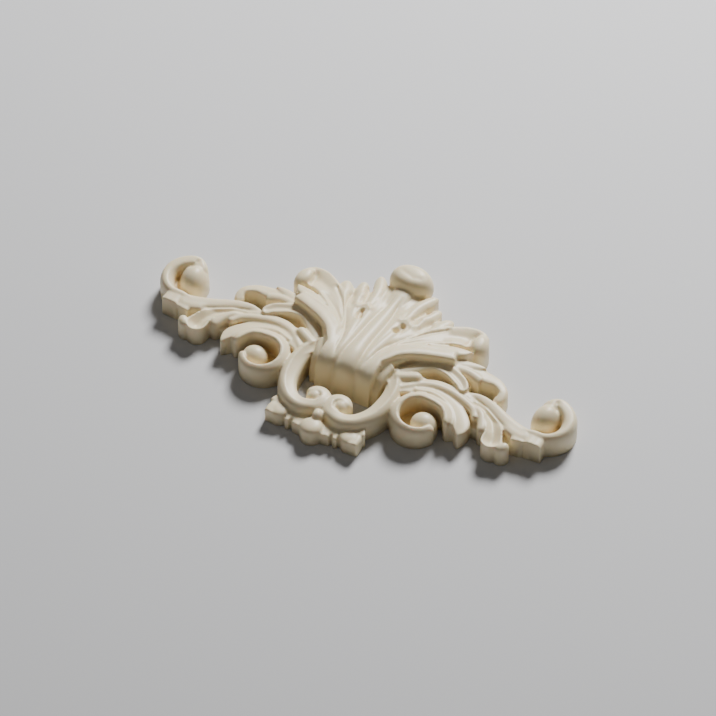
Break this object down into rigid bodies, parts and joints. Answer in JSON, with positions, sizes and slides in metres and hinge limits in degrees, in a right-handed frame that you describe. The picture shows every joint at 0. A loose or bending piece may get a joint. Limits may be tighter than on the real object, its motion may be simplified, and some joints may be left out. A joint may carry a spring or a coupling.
{
  "type": "furniture onlay",
  "caption": "Carved-look relief onlay with a flat back: a rolled acanthus plume over a scrolled ring, with leaf wings ending in volutes.",
  "frame": {"origin": "middle of the flat back, half-way along the length and half-way between the bud and the rolled tip", "axes": "+X along the length, +Y from the bud towards the rolled tip of the plume, +Z out of the back towards the viewer of the relief"},
  "size_m": [0.179, 0.092, 0.0168],
  "materials": {
    "polyurethane": "satin"
  },
  "bodies": {
    "root": {"onlay": "polyurethane"}
  },
  "joints": []
}
